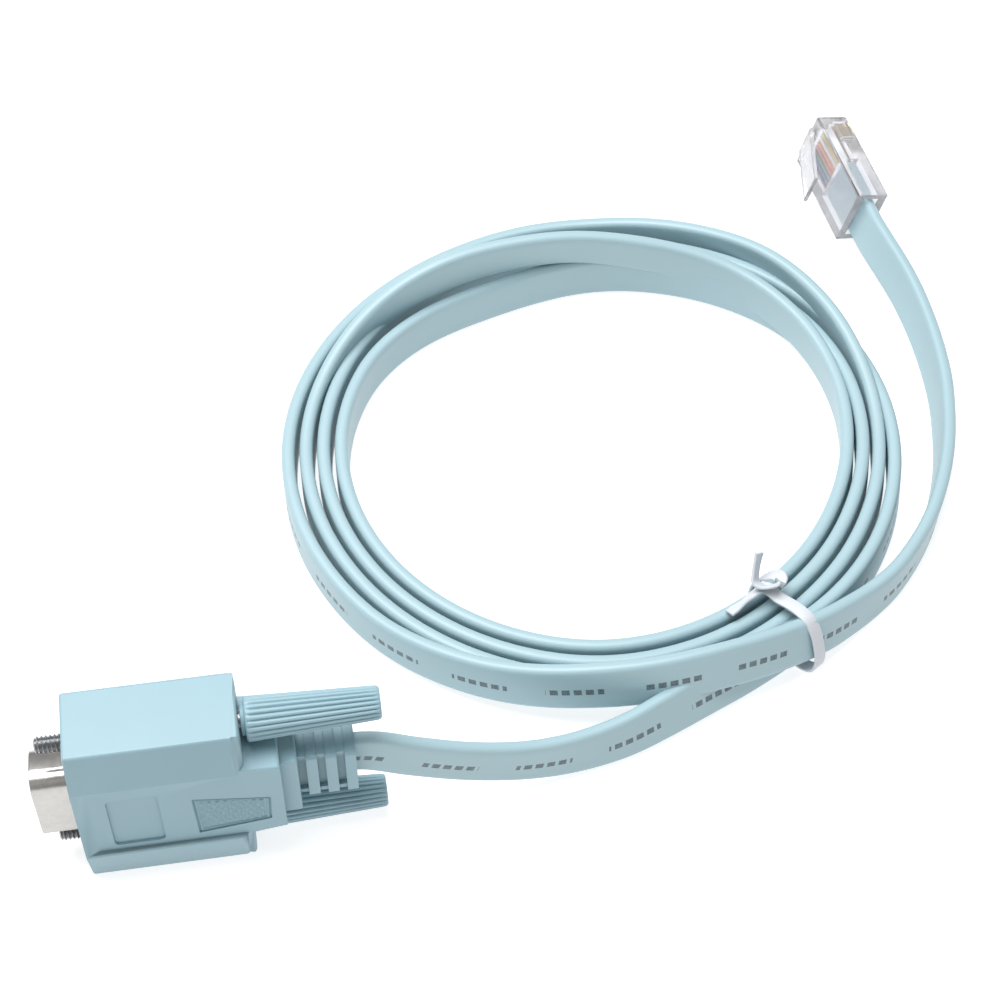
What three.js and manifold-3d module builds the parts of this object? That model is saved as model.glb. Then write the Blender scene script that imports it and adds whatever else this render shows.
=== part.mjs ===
import * as THREE from "three";
import { mergeVertices } from "three/addons/utils/BufferGeometryUtils.js";
import Module from "manifold-3d";

// Flat console cable: nine-way screw-lock connector, tied coil and clear eight-way plug.
// Millimetres, +Z up. +X runs from the connector towards its cable, the floor is z = 0.

const wasm = await Module();
wasm.setup();

// Clearances
const gap = 0.3;
const bladeGap = 0.15;
const cutThrough = 1;

// Hood
const hoodHeight = 33.5;
const wingLength = 25.5;
const wingHeight = 8.05;
const wingTopHalf = 5.85;
const wingLipHalf = 7.45;
const wingChamferLength = 1.4;
const wingRearTopHalf = 5.4;
const wingRearLipHalf = 5.65;
const blockHalf = 6.6;
const blockBevelLength = 2.3;
const blockRise = 0.3;
const blockTaperStart = 25;
const blockLength = 30.7;
const blockRearHalfHeight = 8.4;
const recessStart = 4.6;
const recessLength = 7.7;
const recessTop = 5.2;
const recessBottom = -7.5;
const recessRadius = 0.8;
const recessDepth = 0.4;
const gripOutline = [[17.1, 2.8], [28.8, 0.7], [28.5, -5.4], [17.4, -7.0]];
const gripDepth = 0.35;

// Collar and strain relief behind the hood
const collarLength = 2.6;
const collarHalf = 5.0;
const collarHalfHeight = 6.9;
const ribCount = 3;
const ribLength = 1.7;
const slotLength = 1.23;
const ribHalf = 3.8;
const ribHalfHeight = 5.3;
const ribRadius = 0.8;
const sleeveWall = 1.05;
const webHalf = 3.0;
const webHeight = 0.9;

// Shell, flange and contacts
const shellReach = 6.0;
const shellLong = 16.33;
const shellShort = 7.9;
const shellSlant = 10;
const shellRadius = 2.6;
const shellWall = 0.45;
const flangeThickness = 0.9;
const flangeHeight = 30.4;
const flangeWidth = 10.6;
const flangeRadius = 2.0;
const insulatorSetback = 0.5;
const contactPitch = 2.77;
const contactRowSpacing = 2.84;
const contactSetback = 0.7;
const contactRadius = 0.75;
const contactBore = 0.45;
const contactBoreDepth = 4.5;

// Thumbscrews
const screwSpacing = 24.99;
const screwRadius = 1.42;
const threadPitch = 0.635;
const threadDepth = 0.35;
const threadCount = 11;
const screwReach = 4.3;
const screwInHead = 9.5;
const headLength = 20.1;
const headNeckLength = 0.6;
const headNeckRadius = 2.4;
const headFrontRadius = 3.45;
const headRearRadius = 2.6;
const headRibCount = 22;
const headRibDepth = 0.32;
const headEdge = 0.5;

// Flat cable, its coil and the tie
const cableWidth = 8.6;
const cableThickness = 2.5;
const cableEdge = 0.7;
const coilCentre = [70.0, 63.4];
const coilOuter = 52.9;
const coilInner = 41.2;
const coilHeight = 12.6;
const coilEdge = 1.2;
const tieAngle = -55.6;
const tieWidth = 2.2;
const tieThickness = 0.5;
const tieRadius = 1.5;
const knotRadius = 1.1;
const knotLength = 4.5;
const tieEndLength = 6.5;
const tieEndWidth = 1.8;
const tieEndThickness = 0.6;

// Plug
const plugLength = 21.46;
const plugWidth = 11.68;
const plugThickness = 6.6;
const plugEdge = 0.5;
const plugPlace = [129.6, 109.1, 6.55];
const plugHeading = 98.1;
const plugPitch = 3;
const plugLean = 14.4;
const jacketInPlug = 10;
const wireCount = 8;
const wirePitch = 1.05;
const wireRadius = 0.375;
const wireLength = 9.3;
const bladeThickness = 0.35;
const bladeLength = 3.5;
const bladeSetback = 1.0;
const bladeInset = 0.25;
const latchRise = 5.0;
const latchThickness = 0.9;
const latchWidth = 6.0;
const latchRoot = 1.6;
const latchFreeEnd = 7.5;

// Places that follow from the sizes
const headStart = wingLength + gap;
const headEnd = headStart + headLength + headNeckLength;
const hoodFront = -(headEnd - shellReach) / 2;
const axisZ = hoodHeight / 2;
const lipHeight = axisZ - wingHeight;
const screwZ = screwSpacing / 2;
const screwHole = screwRadius + gap;
const blockHalfHeight = lipHeight + blockRise;
const collarEnd = blockLength + collarLength;
const reliefEnd = collarEnd + ribCount * (slotLength + ribLength);
const pocketDepth = flangeThickness + gap;
const cableHalf = cableThickness / 2;
const besideCoil = coilOuter + gap + cableHalf;
const tieStop = THREE.MathUtils.radToDeg((tieWidth / 2 + gap) / besideCoil);

const hoodBlue = { color: 0x9fc3cf, roughness: 0.55, metalness: 0 };
const cableGrey = { color: 0x8fa8b0, roughness: 0.5, metalness: 0 };
const steel = { color: 0x8c9296, roughness: 0.3, metalness: 1 };
const plated = { color: 0xb3b6b5, roughness: 0.35, metalness: 1 };
const gold = { color: 0xd2a94e, roughness: 0.3, metalness: 1 };
const moulded = { color: 0x2b2d30, roughness: 0.6, metalness: 0 };
const clear = { color: 0xd9dfe6, roughness: 0.1, metalness: 0 };
const white = { color: 0xecefef, roughness: 0.55, metalness: 0 };
const wireColours = [0x6f4b32, 0xd9c43a, 0xe8e8e4, 0xe0893f, 0xc83a3a, 0x2e8b57, 0x2f62b5, 0x2b2b2d];

// Mesh helpers

function outward(geometry) {
  const plain = geometry.clone();
  plain.deleteAttribute("normal");
  plain.deleteAttribute("uv");
  const merged = mergeVertices(plain, 1e-5);
  const place = merged.getAttribute("position");
  const kept = [];
  const a = new THREE.Vector3();
  const b = new THREE.Vector3();
  const c = new THREE.Vector3();
  let volume = 0;
  for (let i = 0; i < merged.index.count; i += 3) {
    const corners = [0, 1, 2].map((k) => merged.index.getX(i + k));
    if (new Set(corners).size === 3) {
      kept.push(corners);
      a.fromBufferAttribute(place, corners[0]);
      b.fromBufferAttribute(place, corners[1]);
      c.fromBufferAttribute(place, corners[2]);
      volume += a.dot(b.cross(c));
    }
  }
  merged.setIndex(kept.flatMap((t) => (volume < 0 ? [t[0], t[2], t[1]] : t)));
  return merged;
}

function solid(geometry) {
  const closed = outward(geometry);
  const vertProperties = new Float32Array(closed.getAttribute("position").array);
  const triVerts = new Uint32Array(closed.index.array);
  return new wasm.Manifold(new wasm.Mesh({ numProp: 3, vertProperties, triVerts }));
}

function geometryOf(body) {
  const mesh = body.getMesh();
  const geometry = new THREE.BufferGeometry();
  geometry.setAttribute("position", new THREE.BufferAttribute(new Float32Array(mesh.vertProperties), 3));
  geometry.setIndex(Array.from(mesh.triVerts));
  return geometry;
}

function part(name, shape, look) {
  const geometry = shape.isBufferGeometry ? outward(shape) : geometryOf(shape);
  const faces = geometry.toNonIndexed();
  faces.computeVertexNormals();
  const mesh = new THREE.Mesh(faces, new THREE.MeshStandardMaterial(look));
  mesh.name = name;
  return mesh;
}

// Shape helpers

function roundCorners(corners, radius, steps = 3) {
  const count = corners.length;
  return corners.flatMap((corner, i) => {
    const here = new THREE.Vector2(...corner);
    const before = new THREE.Vector2(...corners[(i + count - 1) % count]).sub(here).normalize();
    const after = new THREE.Vector2(...corners[(i + 1) % count]).sub(here).normalize();
    const half = Math.acos(THREE.MathUtils.clamp(before.dot(after), -1, 1)) / 2;
    const start = here.clone().addScaledVector(before, radius / Math.tan(half));
    const end = here.clone().addScaledVector(after, radius / Math.tan(half));
    const centre = here.clone().addScaledVector(before.clone().add(after).normalize(), radius / Math.sin(half));
    const from = start.clone().sub(centre).angle();
    const turn = end.clone().sub(centre).angle() - from;
    const sweep = Math.atan2(Math.sin(turn), Math.cos(turn));
    return Array.from({ length: steps + 1 }, (_, k) => {
      const angle = from + (sweep * k) / steps;
      return [centre.x + radius * Math.cos(angle), centre.y + radius * Math.sin(angle)];
    });
  });
}

function rectangle(halfWidth, halfHeight) {
  return [[-halfWidth, -halfHeight], [halfWidth, -halfHeight], [halfWidth, halfHeight], [-halfWidth, halfHeight]];
}

// Solid through matching outlines in Y and Z, each at its own X
function loft(sections) {
  const count = sections[0][1].length;
  const positions = sections.flatMap(([x, outline]) => outline.flatMap(([y, z]) => [x, y, z]));
  const index = [];
  for (let s = 0; s < sections.length - 1; s += 1) {
    for (let i = 0; i < count; i += 1) {
      const a = s * count + i;
      const b = s * count + ((i + 1) % count);
      index.push(a, b, b + count, a, b + count, a + count);
    }
  }
  for (const [at, flip] of [[0, true], [sections.length - 1, false]]) {
    const outline = sections[at][1].map(([y, z]) => new THREE.Vector2(y, z));
    const clockwise = THREE.ShapeUtils.isClockWise(outline);
    for (const face of THREE.ShapeUtils.triangulateShape(outline, [])) {
      const order = flip === clockwise ? face : [face[0], face[2], face[1]];
      index.push(...order.map((v) => v + at * count));
    }
  }
  const geometry = new THREE.BufferGeometry();
  geometry.setAttribute("position", new THREE.Float32BufferAttribute(positions, 3));
  geometry.setIndex(index);
  return geometry;
}

function alongX(outline, start, end) {
  return loft([[start, outline], [end, outline]]);
}

// Outline in X and Z, extruded along Y
function alongY(outline, start, end, hole = null) {
  const shape = new THREE.Shape(outline.map(([x, z]) => new THREE.Vector2(x, z)));
  if (hole) {
    shape.holes.push(new THREE.Path(hole.map(([x, z]) => new THREE.Vector2(x, z))));
  }
  const geometry = new THREE.ExtrudeGeometry(shape, { depth: end - start, bevelEnabled: false });
  geometry.rotateX(Math.PI / 2);
  geometry.translate(0, end, 0);
  return geometry;
}

function roundBar(radius, start, end, y, z, sides = 24) {
  const bar = new THREE.CylinderGeometry(radius, radius, end - start, sides);
  bar.rotateZ(-Math.PI / 2);
  bar.translate((start + end) / 2, y, z);
  return bar;
}

// Profile of distance along X and radius, turned about an axis along X
function turned(profile, sides) {
  const geometry = new THREE.LatheGeometry(profile.map(([x, r]) => new THREE.Vector2(r, x)), sides);
  geometry.rotateZ(-Math.PI / 2);
  return geometry;
}

const group = new THREE.Group();

// Hood, in distances from its front face and from its axis

const hoodParts = new THREE.Group();
hoodParts.position.set(hoodFront, 0, axisZ);
group.add(hoodParts);

function wingOutline(topHalf, lipHalf, side) {
  return [[-lipHalf, side * lipHeight], [lipHalf, side * lipHeight], [topHalf, side * axisZ], [-topHalf, side * axisZ]];
}

let hood = solid(loft([
  [0, rectangle(wingLipHalf, blockHalfHeight)],
  [blockBevelLength, rectangle(blockHalf, blockHalfHeight)],
  [blockTaperStart, rectangle(blockHalf, blockHalfHeight)],
  [blockLength, rectangle(blockHalf, blockRearHalfHeight)],
]));
for (const side of [1, -1]) {
  hood = hood.add(solid(loft([
    [0, wingOutline(wingTopHalf, wingLipHalf, side)],
    [wingLength - wingChamferLength, wingOutline(wingTopHalf, wingLipHalf, side)],
    [wingLength, wingOutline(wingRearTopHalf, wingRearLipHalf, side)],
  ])));
}
hood = hood.add(solid(alongX(rectangle(collarHalf, collarHalfHeight), blockTaperStart, collarEnd)));
const sleeveHalf = cableHalf + sleeveWall;
hood = hood.add(solid(alongX(rectangle(sleeveHalf, ribHalfHeight - webHeight), blockLength, reliefEnd)));
for (const side of [1, -1]) {
  const web = rectangle(webHalf, webHeight / 2).map(([y, z]) => [y, z + side * (ribHalfHeight - webHeight * 0.75)]);
  hood = hood.add(solid(alongX(web, blockLength, reliefEnd)));
}
for (let i = 0; i < ribCount; i += 1) {
  const start = collarEnd + slotLength + i * (slotLength + ribLength);
  hood = hood.add(solid(alongX(roundCorners(rectangle(ribHalf, ribHalfHeight), ribRadius), start, start + ribLength)));
}

// Label recess and grip panel on both broad faces, flange pocket and screw holes
const recessOutline = roundCorners([
  [recessStart, recessBottom],
  [recessStart + recessLength, recessBottom],
  [recessStart + recessLength, recessTop],
  [recessStart, recessTop],
], recessRadius);
for (const side of [1, -1]) {
  for (const [outline, depth] of [[recessOutline, recessDepth], [gripOutline, gripDepth]]) {
    const floor = side * (blockHalf - depth);
    const above = side * (blockHalf + cutThrough);
    hood = hood.subtract(solid(alongY(outline, Math.min(floor, above), Math.max(floor, above))));
  }
  hood = hood.subtract(solid(roundBar(screwHole, -cutThrough, wingLength + cutThrough, 0, side * screwZ)));
}
const pocket = roundCorners(rectangle(flangeWidth / 2 + gap, flangeHeight / 2 + gap), flangeRadius);
hood = hood.subtract(solid(alongX(pocket, -cutThrough, pocketDepth)));
hoodParts.add(part("hood", hood, hoodBlue));

// Shell and flange in one stamping, insulator and socket contacts

function shellOutline(inset) {
  const wide = shellLong / 2 - inset;
  const half = shellShort / 2 - inset;
  const narrow = wide - 2 * half * Math.tan(THREE.MathUtils.degToRad(shellSlant));
  return roundCorners([[-half, -wide], [half, -narrow], [half, narrow], [-half, wide]], shellRadius - inset, 4);
}

let shell = solid(alongX(roundCorners(rectangle(flangeWidth / 2, flangeHeight / 2), flangeRadius), 0, flangeThickness));
shell = shell.add(solid(alongX(shellOutline(0), -shellReach, flangeThickness)));
shell = shell.subtract(solid(alongX(shellOutline(shellWall), -shellReach - cutThrough, flangeThickness + cutThrough)));
for (const side of [1, -1]) {
  shell = shell.subtract(solid(roundBar(screwHole, -cutThrough, flangeThickness + cutThrough, 0, side * screwZ)));
}
hoodParts.add(part("d_shell", shell, plated));

const contactPlaces = [];
for (let i = 0; i < 9; i += 1) {
  const wideRow = i < 5;
  const along = wideRow ? i - 2 : i - 6.5;
  contactPlaces.push([(wideRow ? -1 : 1) * (contactRowSpacing / 2), along * contactPitch]);
}
let insulator = solid(alongX(shellOutline(shellWall + gap), -shellReach + insulatorSetback, flangeThickness));
contactPlaces.forEach(([y, z], i) => {
  insulator = insulator.subtract(solid(roundBar(
    contactRadius + gap, -shellReach - cutThrough, flangeThickness + cutThrough, y, z, 12)));
  const front = -shellReach + contactSetback;
  const contact = turned([
    [flangeThickness, 0],
    [flangeThickness, contactRadius],
    [front, contactRadius],
    [front, contactBore],
    [front + contactBoreDepth, contactBore],
    [front + contactBoreDepth, 0],
  ], 12);
  contact.translate(0, y, z);
  hoodParts.add(part(`socket_contact_${i + 1}`, contact, gold));
});
hoodParts.add(part("contact_insulator", insulator, moulded));

// Thumbscrews: a ribbed head on each threaded screw

function ringOutline(radius, depth) {
  return Array.from({ length: headRibCount * 2 }, (_, i) => {
    const angle = (Math.PI * i) / headRibCount;
    const r = i % 2 ? radius - depth : radius;
    return [r * Math.cos(angle), r * Math.sin(angle)];
  });
}

const threadProfile = [];
for (let i = 0; i < threadCount; i += 1) {
  const start = -screwReach + i * threadPitch;
  threadProfile.push([start, screwRadius - threadDepth]);
  threadProfile.push([start + threadPitch / 2, screwRadius]);
}
const threadEnd = -screwReach + threadCount * threadPitch;
const screwEnd = headStart + screwInHead;
const screwProfile = [
  [-screwReach, 0],
  ...threadProfile,
  [threadEnd, screwRadius - threadDepth],
  [threadEnd + threadPitch, screwRadius],
  [screwEnd, screwRadius],
  [screwEnd, 0],
];
for (const [word, side] of [["upper", 1], ["lower", -1]]) {
  let head = solid(loft([
    [headStart, ringOutline(headNeckRadius, 0)],
    [headStart + headNeckLength, ringOutline(headNeckRadius, 0)],
    [headStart + headNeckLength, ringOutline(headFrontRadius, headRibDepth)],
    [headEnd - headEdge, ringOutline(headRearRadius, headRibDepth)],
    [headEnd, ringOutline(headRearRadius - headEdge, 0)],
  ]));
  head = head.subtract(solid(roundBar(screwHole, headStart - cutThrough, screwEnd + gap, 0, 0)));
  const headGeometry = geometryOf(head);
  headGeometry.translate(0, 0, side * screwZ);
  const screw = turned(screwProfile, 16);
  screw.translate(0, 0, side * screwZ);
  hoodParts.add(part(`${word}_thumbscrew_head`, headGeometry, hoodBlue));
  hoodParts.add(part(`${word}_jackscrew`, screw, steel));
}

// Flat cable standing on edge, bent from a straight extrusion

function bentCord(points, leans, steps) {
  const curve = new THREE.CatmullRomCurve3(points.map((p) => new THREE.Vector3(...p)), false, "centripetal");
  const w = cableWidth / 2;
  const t = cableHalf;
  const e = cableEdge;
  const outline = [
    [t, -w + e], [t, w - e], [t - e, w], [-t + e, w], [-t, w - e], [-t, -w + e], [-t + e, -w], [t - e, -w],
  ];
  const section = new THREE.Shape(outline.map(([x, y]) => new THREE.Vector2(x, y)));
  const cord = new THREE.ExtrudeGeometry(section, { depth: 1, steps, bevelEnabled: false });
  const place = cord.getAttribute("position");
  const up = new THREE.Vector3(0, 0, 1);
  for (let i = 0; i < place.count; i += 1) {
    const along = THREE.MathUtils.clamp(place.getZ(i), 0, 1);
    const centre = curve.getPointAt(along);
    const ahead = curve.getTangentAt(along);
    const share = curve.getUtoTmapping(along) * (points.length - 1);
    const from = Math.min(Math.floor(share), points.length - 2);
    const lean = THREE.MathUtils.degToRad(THREE.MathUtils.lerp(leans[from], leans[from + 1], share - from));
    const side = up.clone().cross(ahead).normalize();
    const rise = ahead.clone().cross(side);
    const tall = rise.clone().multiplyScalar(Math.cos(lean)).addScaledVector(side, -Math.sin(lean));
    const wide = side.clone().multiplyScalar(Math.cos(lean)).addScaledVector(rise, Math.sin(lean));
    centre.z = Math.max(centre.z, w * Math.abs(tall.z) + t * Math.abs(wide.z));
    centre.addScaledVector(wide, place.getX(i)).addScaledVector(tall, place.getY(i));
    place.setXYZ(i, centre.x, centre.y, centre.z);
  }
  return cord;
}

function aroundCoil(angle, radius, height) {
  const turn = THREE.MathUtils.degToRad(angle);
  return [coilCentre[0] + radius * Math.cos(turn), coilCentre[1] + radius * Math.sin(turn), height];
}

const onFloor = cableWidth / 2;
const hoodTail = [
  [hoodFront + reliefEnd + gap, 0, axisZ],
  [hoodFront + reliefEnd + 2, 0, axisZ - 0.1],
  [26.6, 0, 15.0],
  [30.6, -0.1, 13.0],
  [39.2, 0, 9.5],
  [48.3, 0.4, 6.6],
  [57.0, 1.6, 4.9],
  [65.7, 3.3, onFloor],
  [73.4, 4.8, onFloor],
  [81.7, 7.9, onFloor],
  [88.8, 11.2, onFloor],
  aroundCoil(-63.5, besideCoil + 0.1, onFloor),
  aroundCoil(-60.5, besideCoil, onFloor),
  aroundCoil(tieAngle - tieStop, besideCoil, onFloor),
];
group.add(part("cable_hood_tail", bentCord(hoodTail, hoodTail.map(() => 0), 26), cableGrey));

const plugFrame = new THREE.Matrix4().makeTranslation(...plugPlace)
  .multiply(new THREE.Matrix4().makeRotationZ(THREE.MathUtils.degToRad(plugHeading)))
  .multiply(new THREE.Matrix4().makeRotationY(THREE.MathUtils.degToRad(-plugPitch)))
  .multiply(new THREE.Matrix4().makeRotationX(THREE.MathUtils.degToRad(plugLean)));

function onPlugAxis(distance) {
  return new THREE.Vector3(distance, 0, 0).applyMatrix4(plugFrame).toArray();
}

const plugTail = [
  [aroundCoil(tieAngle + tieStop, besideCoil, onFloor), 0],
  [[105.2, 20.7, onFloor], 0],
  [[109.3, 23.4, onFloor], 0],
  [[114.6, 27.2, onFloor], 0],
  [[119.6, 32.5, onFloor], 1],
  [[123.7, 38.1, onFloor], 2],
  [[127.2, 44.6, onFloor], 3.5],
  [[130.0, 51.5, onFloor], 5],
  [[132.1, 59.1, 4.4], 7],
  [[133.7, 68.1, 4.6], 9],
  [[134.1, 79.3, 5.0], 11],
  [[133.1, 91.0, 5.6], 13],
  [onPlugAxis(-5), plugLean],
  [onPlugAxis(-1), plugLean],
  [onPlugAxis(jacketInPlug / 2), plugLean],
  [onPlugAxis(jacketInPlug), plugLean],
];
const plugTailCord = bentCord(plugTail.map(([p]) => p), plugTail.map(([, lean]) => lean), 36);
group.add(part("cable_plug_tail", plugTailCord, cableGrey));

// Coil of flat cable as one ring, grooved beneath for the tie

const ringEdges = [
  [coilInner + coilEdge, 0],
  [coilOuter - coilEdge, 0],
  [coilOuter, coilEdge],
  [coilOuter, coilHeight - coilEdge],
  [coilOuter - coilEdge, coilHeight],
  [coilInner + coilEdge, coilHeight],
  [coilInner, coilHeight - coilEdge],
  [coilInner, coilEdge],
  [coilInner + coilEdge, 0],
];
const ring = new THREE.LatheGeometry(ringEdges.map(([r, z]) => new THREE.Vector2(r, z)), 72);
ring.rotateX(Math.PI / 2);
const groove = new THREE.BoxGeometry(
  coilOuter - coilInner + 2 * cutThrough, tieWidth + 2 * gap, 2 * (tieThickness + gap));
groove.translate((coilOuter + coilInner) / 2, 0, 0);
groove.rotateZ(THREE.MathUtils.degToRad(tieAngle));
const coilParts = new THREE.Group();
coilParts.position.set(coilCentre[0], coilCentre[1], 0);
group.add(coilParts);
coilParts.add(part("cable_coil", solid(ring).subtract(solid(groove)), cableGrey));

// Twist tie: a strip round the coil with a twisted knot and two ends

const tieInner = coilInner - gap;
const tieOuter = coilOuter + gap + cableThickness + gap;
const tieTop = coilHeight + gap;
function stripOutline(grow, bottom, radius) {
  return roundCorners([
    [tieInner - grow, bottom],
    [tieOuter + grow, bottom],
    [tieOuter + grow, tieTop + grow],
    [tieInner - grow, tieTop + grow],
  ], radius);
}
let tie = solid(alongY(
  stripOutline(tieThickness, 0, tieRadius), -tieWidth / 2, tieWidth / 2,
  stripOutline(0, tieThickness, tieRadius - tieThickness)));
const knot = new THREE.CylinderGeometry(knotRadius, knotRadius, knotLength, 12);
knot.rotateZ(Math.PI / 3);
knot.translate(tieInner, 0, tieTop + knotRadius);
tie = tie.add(solid(knot));
for (const angle of [150, -105]) {
  const end = new THREE.BoxGeometry(tieEndLength, tieEndWidth, tieEndThickness);
  end.translate(tieEndLength / 2, 0, 0);
  end.rotateZ(THREE.MathUtils.degToRad(angle));
  end.translate(tieInner, 0, tieTop + tieThickness);
  tie = tie.add(solid(end));
}
const tieGroup = new THREE.Group();
tieGroup.rotation.z = THREE.MathUtils.degToRad(tieAngle);
tieGroup.add(part("twist_tie", tie, white));
coilParts.add(tieGroup);

// Plug, in distances from its rear face along its own axis; the latch is on its left

const plugParts = new THREE.Group();
plugFrame.decompose(plugParts.position, plugParts.quaternion, plugParts.scale);
group.add(plugParts);
const t = plugThickness / 2;
const w = plugWidth / 2;
const jacketRoom = jacketInPlug + gap;
const wireEnd = jacketRoom + wireLength;
const wireSpan = ((wireCount - 1) * wirePitch) / 2;
const wireRoom = wireRadius + gap;
const bladeFront = plugLength - bladeSetback;
const bladeRear = bladeFront - bladeLength;

let body = solid(loft([
  [0, roundCorners(rectangle(t, w), plugEdge, 2)],
  [plugLength - plugEdge, roundCorners(rectangle(t, w), plugEdge, 2)],
  [plugLength, roundCorners(rectangle(t - plugEdge, w - plugEdge), plugEdge, 2)],
]));
const latchSide = [
  [plugLength - plugEdge, t - plugEdge],
  [plugLength - plugEdge, t + latchThickness / 2],
  [plugLength - plugEdge - latchThickness, t + latchThickness],
  [latchFreeEnd, t + latchRise],
  [latchFreeEnd, t + latchRise - latchThickness],
  [plugLength - plugEdge - latchRoot, t + gap],
  [plugLength - plugEdge - latchRoot, t - plugEdge],
];
const latch = new THREE.ExtrudeGeometry(
  new THREE.Shape(latchSide.map(([x, y]) => new THREE.Vector2(x, y))), { depth: latchWidth, bevelEnabled: false });
latch.translate(0, 0, -latchWidth / 2);
body = body.add(solid(latch));
body = body.subtract(solid(alongX(rectangle(cableHalf + gap, cableWidth / 2 + gap), -cutThrough, jacketRoom)));
body = body.subtract(solid(alongX(rectangle(wireRoom, wireSpan + wireRoom), jacketInPlug, wireEnd + gap)));
for (let i = 0; i < wireCount; i += 1) {
  const z = wireSpan - i * wirePitch;
  const slot = new THREE.BoxGeometry(
    bladeLength + 2 * gap, t, bladeThickness + 2 * bladeGap);
  slot.translate((bladeFront + bladeRear) / 2, -wireRadius - t / 2, z);
  body = body.subtract(solid(slot));
  const bladeDepth = t - bladeInset - wireRoom;
  const blade = new THREE.BoxGeometry(bladeLength, bladeDepth, bladeThickness);
  blade.translate((bladeFront + bladeRear) / 2, -wireRoom - bladeDepth / 2, z);
  plugParts.add(part(`plug_contact_${i + 1}`, blade, gold));
  const wire = roundBar(wireRadius, jacketRoom, wireEnd, 0, z, 10);
  const colour = { color: wireColours[i % wireColours.length], roughness: 0.5, metalness: 0 };
  plugParts.add(part(`conductor_${i + 1}`, wire, colour));
}
plugParts.add(part("plug_body", body, clear));

export default group;
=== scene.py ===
"""Flat console cable in a tied round coil, with a screw-lock connector and a clear modular plug."""

import math

import bmesh
import bpy
import numpy as np
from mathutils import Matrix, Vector


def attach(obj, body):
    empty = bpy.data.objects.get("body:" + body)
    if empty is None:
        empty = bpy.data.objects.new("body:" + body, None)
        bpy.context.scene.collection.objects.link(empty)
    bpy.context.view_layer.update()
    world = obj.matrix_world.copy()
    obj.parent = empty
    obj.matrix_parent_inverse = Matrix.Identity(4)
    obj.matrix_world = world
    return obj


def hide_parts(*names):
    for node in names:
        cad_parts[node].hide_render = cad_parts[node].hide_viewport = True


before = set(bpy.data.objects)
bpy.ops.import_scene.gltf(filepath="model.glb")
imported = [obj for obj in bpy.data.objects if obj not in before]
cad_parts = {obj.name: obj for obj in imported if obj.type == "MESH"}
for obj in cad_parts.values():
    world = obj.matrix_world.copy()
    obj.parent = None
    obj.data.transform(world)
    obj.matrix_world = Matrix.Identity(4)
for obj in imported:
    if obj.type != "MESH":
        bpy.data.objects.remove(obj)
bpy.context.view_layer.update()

bl_info = {
    "name": "Console cable",
    "version": (1, 0, 0),
    "blender": (4, 5, 0),
    "location": "3D View > Sidebar > Console cable",
    "description": "Builds a flat console cable with its two connectors",
    "category": "Add Mesh",
}

MM = 0.001

# Camera that matches the photograph: place and target in metres, lens and sensor in millimetres
CAMERA_PLACE = (0.016, -0.1861, 0.3152)
CAMERA_TARGET = (0.0528, 0.0574, 0.0)
CAMERA_LENS = 82.74
SENSOR_WIDTH = 36.0

# Softboxes in metres: name, place, target and size
LIGHTS = (
    ("key", (-0.10, 0.16, 0.75), (0.05, 0.06, 0), 0.55),
    ("fill", (-0.35, -0.55, 0.45), (0.05, 0.05, 0), 0.5),
)
FLOOR_HALF = 1.2
FLOOR_HEIGHT = -0.0002

# Edges that turn by more than this many degrees are rounded
SHARP_TURN = 28

# Places repeated from the CAD source, in millimetres
HOOD_FRONT = -20.25
AXIS_HEIGHT = 16.75
BLOCK_HALF = 6.6
SCREW_OFFSET = 12.495
GRIP_OUTLINE = ((17.1, 2.8), (28.8, 0.7), (28.5, -5.4), (17.4, -7.0))
GRIP_DEPTH = 0.35
RECESS_REACH = 7.9
HEAD_START = 25.8
HEAD_END = 46.5
SCREW_START = -4.3
SCREW_END = 35.3
THREAD_END = 5.0
THREAD_DEPTH = 0.36

# The cable's route in millimetres. First the tail from the hood, as points of its middle with the lean.
HOOD_TAIL = (
    (17.5, 0, 16.75, 0), (20.0, 0, 16.75, 0), (22.14, 0, 16.7, 0), (23.84, 0, 16.4, 0), (26.6, 0, 15.2, 0),
    (30.6, -0.1, 13.2, 0), (39.2, 0, 9.5, 0), (48.3, 0.6, 6.6, -2), (57.0, 2.0, 4.9, -7),
    (65.7, 4.3, 4.4, -14), (73.4, 7.6, 4.4, -20),
)
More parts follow.
